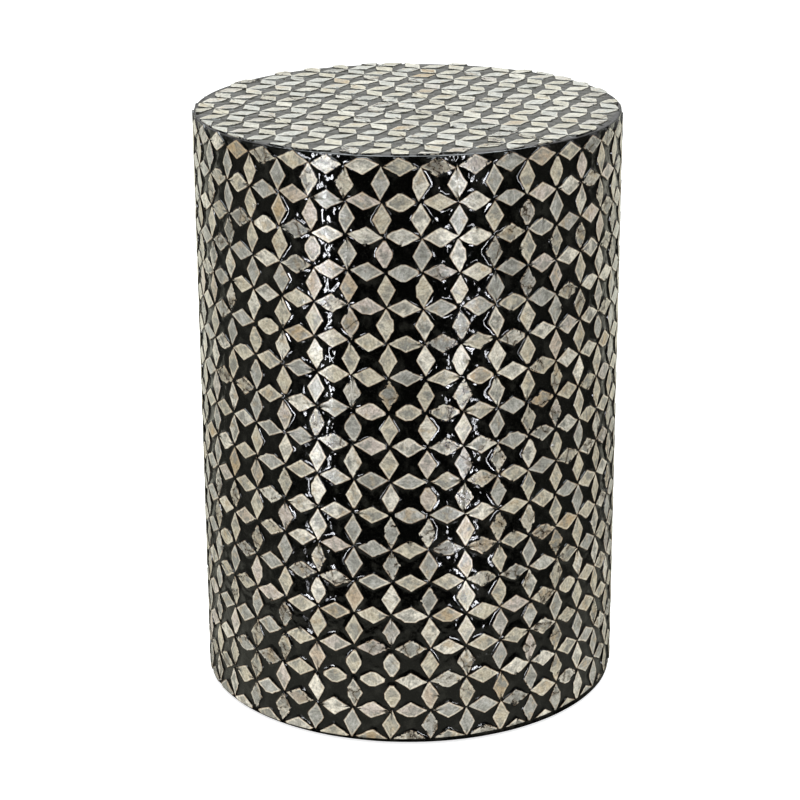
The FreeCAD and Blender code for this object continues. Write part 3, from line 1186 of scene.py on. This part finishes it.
@dataclass
class SeatFacing:
    """The seat: its lacquer with a rounded rim, and its turned grid of tiles."""

    thickness: float = 1.2 * MM
    pitch: float = 26.1 * MM
    turn: float = math.radians(29.25)
    corner_along: float = -2.4 * MM
    corner_across: float = 9.9 * MM
    tip_gap: float = 1.5 * MM
    fullness: float = 1.02
    band: float = 1.6 * MM
    rim_width: float = 2.4 * MM
    rim_drop: float = 1.1 * MM
    rim_steps: int = 6
    rim_planes: int = 72
    flow: float = 0.55 * MM
    outermost: float = 2.0 * MM
    bead_inside: float = 0.8 * MM
    coat_rings: int = 40
    coat_segments: int = 190
    coat_waviness: float = 0.1 * MM
    cut_seed: int = 23
    seed: int = 500
    laying: HandLaying = HandLaying()

    def __post_init__(self) -> None:
        """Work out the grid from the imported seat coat."""
        low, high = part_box("seat_ground")
        self.bottom = low.z
        self.top = high.z
        self.radius = high.x
        self.limit = self.radius - self.band
        self.long = self.pitch - self.tip_gap
        self.short = self.long * math.tan(SHARP_HALF_ANGLE)
        self.reach = math.ceil(self.radius / self.pitch) + 1

    def tree(self) -> LayingTree:
        """Build the laying of the turned grid, with a tile along and a tile across from every corner.

        Returns:
            The tree, ready to run.
        """
        g = LayingTree("seat_laying")
        side = 2 * self.reach + 1
        across = g.index() % 2.0
        cell = (g.index() / 2.0).math("FLOOR")
        u = (cell % float(side) - self.reach + 0.5 * (1.0 - across)) * self.pitch + self.corner_along
        v = ((cell / float(side)).math("FLOOR") - self.reach + 0.5 * across) * self.pitch + self.corner_across
        points = g.wire("GeometryNodePoints", None, {"Count": 2 * side * side, "Position": g.join(u, v, 0.0)})
        points = g.keep(points, "across", "FLOAT", across)
        outside = g.length(g.wire("GeometryNodeInputPosition")) > self.limit + self.outermost
        points = g.wire("GeometryNodeDeleteGeometry", None, {"Geometry": points, "Selection": outside})
        lying = g.wire("GeometryNodeInputNamedAttribute", {"data_type": "FLOAT"}, {"Name": "across"})
        tiles = g.lay(points, lying * (math.pi / 2))
        place = {"Geometry": tiles, "Translation": (0.0, 0.0, self.top), "Rotation": (0.0, 0.0, self.turn)}
        g.close(g.wire("GeometryNodeTransform", None, place))
        return g

    def rim(self, limit: float) -> list[Plane]:
        """Work out the planes that trim the seat.

        Args:
            limit: Their distance from the middle.

        Returns:
            A point of each plane and its outward direction.
        """
        found = []
        for k in range(self.rim_planes):
            angle = math.tau * k / self.rim_planes
            outward = Vector((math.cos(angle), math.sin(angle), 0))
            found.append((outward * limit, outward))
        return found

    def coat(self) -> bmesh.types.BMesh:
        """Pour the coat that the tiles are set in.

        Returns:
            A wavy disc with a rounded rim.
        """
        corner = self.radius - self.rim_width
        profile = [(0.0, self.bottom), (self.radius, self.bottom)]
        for k in range(self.rim_steps + 1):
            angle = math.pi / 2 * k / self.rim_steps
            height = self.top + self.rim_drop * (math.sin(angle) - 1)
            profile.append((corner + self.rim_width * math.cos(angle), height))
        for k in range(1, self.coat_rings + 1):
            profile.append((corner * (1 - k / self.coat_rings), self.top + self.flow))
        return turned_shell(profile, self.coat_segments, self.coat_waviness)

    def build(self, shell: bpy.types.Material, lacquer: bpy.types.Material) -> None:
        """Lay the grid, with its lacquer, trim it to the rim and put it in the scene.

        Args:
            shell: The tiles' finish.
            lacquer: The finish of the coat and the beads.
        """
        cutter = TileCutter(self.long, self.short, self.thickness, seed=self.cut_seed)
        tiles, beads = cutter.cut_all()
        tree = self.tree()
        values = self.laying.values() | {"Size": self.fullness, "Seed": self.seed, "Cut Count": cutter.count}
        mesh = trimmed(tree.run(values | {"Cuts": tiles, "Finish": shell}), self.rim(self.limit))
        add_piece("seat_shell_tiles", mesh, shell, ["seat_tiles_along", "seat_tiles_across"])
        coat = self.coat()
        drawn_up = tree.run(values | {"Cuts": beads, "Finish": lacquer})
        coat.from_mesh(trimmed(drawn_up, self.rim(self.limit - self.bead_inside)))
        add_piece("seat_lacquer", as_mesh(coat, "seat_lacquer"), lacquer, ["seat_ground"])


@dataclass
class Carcass:
    """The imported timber, screws and pads, which keep their shape and get a finish."""

    nodes: dict[str, bpy.types.Object]

    def finish_of(self, slot: str) -> Any:
        """Find the finish of a slot.

        Args:
            slot: The record's slot.

        Returns:
            The finish, or None where new pieces stand for the slot's nodes.
        """
        finishes = {
            Slot.PLYWOOD: TimberFinish(Slot.PLYWOOD, light=(0.62, 0.46, 0.29), dark=(0.43, 0.29, 0.165)),
            Slot.BOARD: TimberFinish(Slot.BOARD, light=(0.46, 0.34, 0.22), dark=(0.36, 0.26, 0.16)),
            Slot.BLACK_BOARD: PaintedBoardFinish(),
            Slot.STEEL: SteelFinish(),
            Slot.FELT: FeltFinish(),
        }
        return finishes.get(Slot(slot))

    def build(self, subparts: list[dict[str, Any]]) -> None:
        """Dress every node that stays in view.

        Args:
            subparts: The record's list of nodes and their slots.
        """
        made: dict[str, bpy.types.Material] = {}
        for part in subparts:
            slot = part["material_slot"]
            finish = self.finish_of(slot)
            if finish is None:
                continue
            if slot not in made:
                made[slot] = finish.material()
            for holder in self.nodes[part["node"]].material_slots:
                holder.material = made[slot]
            LOG.info("%s: dressed as %s", part["node"], slot)


@dataclass(frozen=True)
class Lamp:
    """A rectangular soft light that the camera doesn't see."""

    name: str
    place: Place
    aim: Place
    size: Span
    power: float
    tint: Colour
    in_gloss: bool = True

    def add(self) -> None:
        """Put the light in the scene."""
        data = bpy.data.lights.new(self.name, "AREA")
        data.color = self.tint
        data.shape = "RECTANGLE"
        data.size, data.size_y = self.size
        data.energy = self.power
        lamp = bpy.data.objects.new(self.name, data)
        lamp.visible_camera = False
        lamp.visible_glossy = self.in_gloss
        lamp.location = self.place
        lamp.rotation_euler = (Vector(self.aim) - Vector(self.place)).to_track_quat("-Z", "Y").to_euler()
        bpy.context.scene.collection.objects.link(lamp)


@dataclass
class Studio:
    """A white floor, soft light with two pairs of tall strips in front, and the camera."""

    camera_distance: float = 1821.7 * MM
    camera_height: float = 854.1 * MM
    camera_pitch: float = math.radians(19.2)
    camera_yaw: float = math.radians(-0.218)
    camera_roll: float = math.radians(-0.31)
    lens: float = 109.9
    gloss_front: float = 0.012
    gloss_low: float = 0.28
    gloss_middle: float = 0.72
    soft_front: float = 0.53
    soft_back: float = 0.73
    floor_half: float = 6.0
    floor_drop: float = 0.3 * MM
    floor_white: float = 0.85
    floor_tint: Colour = (1.0, 1.0, 0.84)
    eye_glow: float = 0.7
    bounce_glow: float = 0.7
    bounce_edge: Span = (0.6, 0.3)
    near_edge: Span = (0.43, 0.31)
    drum_edge: Span = (0.166, 0.178)
    beside: Span = (math.radians(45), math.radians(72))
    past: Span = (math.radians(85), math.radians(115))
    behind: Span = (math.radians(110), math.radians(138))
    far_span: Span = (0.45, 1.0)
    strip_start: Span = (0.34, 0.49)
    strip_angles: Span = (math.radians(-43.5), math.radians(26))
    strip_distance: float = 1.7
    strip_pair: float = math.radians(1.0)
    strip_size: Span = (0.022, 1.1)
    strip_blur: Span = (1.3, 0.7)
    strip_height: float = 0.6
    strip_aim: Place = (0.0, 0.0, 0.25)
    strip_powers: Span = (5.5, 5.2)
    strip_gains: tuple[Span, Span] = ((0.4, 1.65), (1.6, 1.0))
    strip_tint: Colour = (0.98, 1.0, 1.05)
    lamps: tuple[Lamp, ...] = (
        Lamp("overhead", (0.0, 0.3, 1.9), (0.0, 0.0, 0.4), (1.4, 1.4), 42.0, (0.93, 1.0, 1.02)),
        Lamp("left_fill", (-1.7, -0.3, 0.3), (0.0, 0.0, 0.1), (1.0, 0.5), 3.4, (1.0, 1.0, 0.86), False),
        Lamp("right_fill", (1.7, -0.3, 0.3), (0.0, 0.0, 0.1), (1.0, 0.5), 2.9, (1.0, 1.0, 0.86), False),
    )

    def build(self) -> None:
        """Set up the whole studio."""
        bpy.context.scene.view_settings.view_transform = "Standard"
        self.add_camera()
        self.add_world()
        self.add_floor()
        for angle, power in zip(self.strip_angles, self.strip_powers):
            self.add_strip(angle - self.strip_pair, power / 2)
            self.add_strip(angle + self.strip_pair, power / 2)
        for lamp in self.lamps:
            lamp.add()

    def add_camera(self) -> None:
        """The camera at the photograph's viewing angle."""
        pitch = self.camera_pitch
        yaw = self.camera_yaw
        ahead = Vector((math.sin(yaw) * math.cos(pitch), math.cos(yaw) * math.cos(pitch), -math.sin(pitch)))
        level = Vector((math.cos(yaw), -math.sin(yaw), 0.0))
        upright = level.cross(ahead)
        right = level * math.cos(self.camera_roll) + upright * math.sin(self.camera_roll)
        up = upright * math.cos(self.camera_roll) - level * math.sin(self.camera_roll)
        data = bpy.data.cameras.new("camera")
        data.lens = self.lens
        camera = bpy.data.objects.new("camera", data)
        turn = Matrix((right, up, -ahead)).transposed().to_4x4()
        camera.matrix_world = Matrix.Translation((0.0, -self.camera_distance, self.camera_height)) @ turn
        bpy.context.scene.collection.objects.link(camera)
        bpy.context.scene.camera = camera

    def add_world(self) -> None:
        """White all round to the eye, white behind and dark in front in the gloss, and plain soft light."""
        world = bpy.data.worlds.new("studio")
        world.use_nodes = True
        bpy.context.scene.world = world
        g = Graph(world.node_tree)
        _, back, high = g.parts(g.wire("ShaderNodeTexCoord", None, None, "Generated"))
        low = g.mix(g.smooth(high, 0.185, 0.225), (self.gloss_low,) * 3, (self.gloss_middle,) * 3)
        white = g.mix(g.smooth(high, 0.28, 0.42), low, (1.0,) * 3)
        shown = g.mix(g.smooth(back, -0.1, 0.7), (self.gloss_front,) * 3, white)
        soft = g.mix(g.smooth(back, -0.9, 0.2), (self.soft_front,) * 3, (self.soft_back,) * 3)
        light = g.mix(g.ray("Is Glossy Ray"), soft, shown)
        seen = g.ray("Is Camera Ray")
        seen = seen.math("MAXIMUM", seen, g.ray("Is Transmission Ray"))
        g.feed(world.node_tree.nodes["Background"].inputs["Color"], g.mix(seen, light, (1.0,) * 3))

    def add_floor(self) -> None:
        """A white floor that keeps the shadow. In the gloss it ends a little way in front of the stool."""
        half = self.floor_half
        work = bmesh.new()
        corners = ((-half, -half), (half, -half), (half, half), (-half, half))
        work.faces.new([work.verts.new((x, y, -self.floor_drop)) for x, y in corners])
        mesh = as_mesh(work, "floor")
        g = Surface("floor")
        eye = g.emission((1.0,) * 3, g.ray("Is Camera Ray") * self.eye_glow)
        near = g.smooth(g.length(g.object_place()), *self.bounce_edge)
        bounce = g.emission((1.0,) * 3, g.ray("Is Diffuse Ray") * near * self.bounce_glow)
        white = g.wire("ShaderNodeBsdfDiffuse", None, {"Color": (self.floor_white,) * 3})
        lit = g.both(eye, g.both(bounce, white))
        shown = g.either(g.ray("Is Glossy Ray"), lit, self.floor_gloss(g))
        under = g.wire("ShaderNodeNewGeometry", None, None, "Backfacing")
        sided = g.either(under, shown, g.wire("ShaderNodeBsdfTransparent"))
        g.feed(g.tree.nodes["Material Output"].inputs["Surface"], sided)
        mesh.materials.append(g.material)
        floor = bpy.data.objects.new("floor", mesh)
        bpy.context.scene.collection.objects.link(floor)

    def floor_gloss(self, g: Surface) -> Wire:
        """Work out the floor in the gloss: pale near the stool and behind it, with the strips mirrored in it.

        Args:
            g: The floor's material.

        Returns:
            The shader that the gloss sees.
        """
        x, y, _ = g.parts(g.object_place())
        radius = (x * x + y * y).math("SQRT")
        near = g.smooth(radius, *self.near_edge) * g.smooth(radius, *self.drum_edge)
        started = g.smooth(radius, *self.strip_start)
        away = g.smooth(radius, *self.far_span)
        around = x.math("ARCTAN2", x, 0.0 - y)
        turn = around.math("ABSOLUTE")
        beside = g.smooth(turn, *self.beside)
        past = g.smooth(turn, *self.past)
        behind = g.smooth(turn, *self.behind)
        sides = beside * (0.15 - past * 0.05 - g.smooth(x, 0.0, 0.15) * 0.06 + behind * (0.5 + away * 0.3))
        level = near.math("MAXIMUM", near * (0.36 - x * 0.25), sides)
        mirrored: Any = 0.0
        width, height = self.strip_size
        edges = [width / self.strip_distance / 2 * share for share in self.strip_blur]
        pairs = zip(self.strip_angles, self.strip_powers, self.strip_gains)
        for angle, power, (near_gain, far_gain) in pairs:
            apart = ((around - angle).math("ABSOLUTE") - self.strip_pair).math("ABSOLUTE")
            glow = power / 2 / math.pi / width / height
            gain = near_gain + away * (far_gain - near_gain)
            mirrored = g.smooth(apart, *edges) * started * gain * glow + mirrored
        return g.both(g.emission(self.floor_tint, level), g.emission(self.strip_tint, mirrored))

    def add_strip(self, angle: float, power: float) -> None:
        """Put up a tall strip light.

        Args:
            angle: Its angle round from the front, positive to the right.
            power: Its power in watts.
        """
        x = self.strip_distance * math.sin(angle)
        y = -self.strip_distance * math.cos(angle)
        place = (x, y, self.strip_height)
        Lamp("strip", place, self.strip_aim, self.strip_size, power, self.strip_tint).add()


def main() -> None:
    """Build the stool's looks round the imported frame."""
    logging.basicConfig(level=logging.INFO, format="%(message)s")
    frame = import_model()
    Carcass(frame["nodes"]).build(frame["record"]["subparts"])
    lacquer = LacquerFinish(seat_top=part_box("seat_ground")[1].z).material()
    SideFacing(sorted(frame["nodes"])).build(ShellFinish().material(), lacquer)
    # The seat's shell and lacquer carry painted sheen standing in for light reflected off the top.
    SeatFacing().build(ShellFinish.painted_seat_sheen().material(), lacquer)
    Studio().build()


if __name__ == "__main__":
    main()
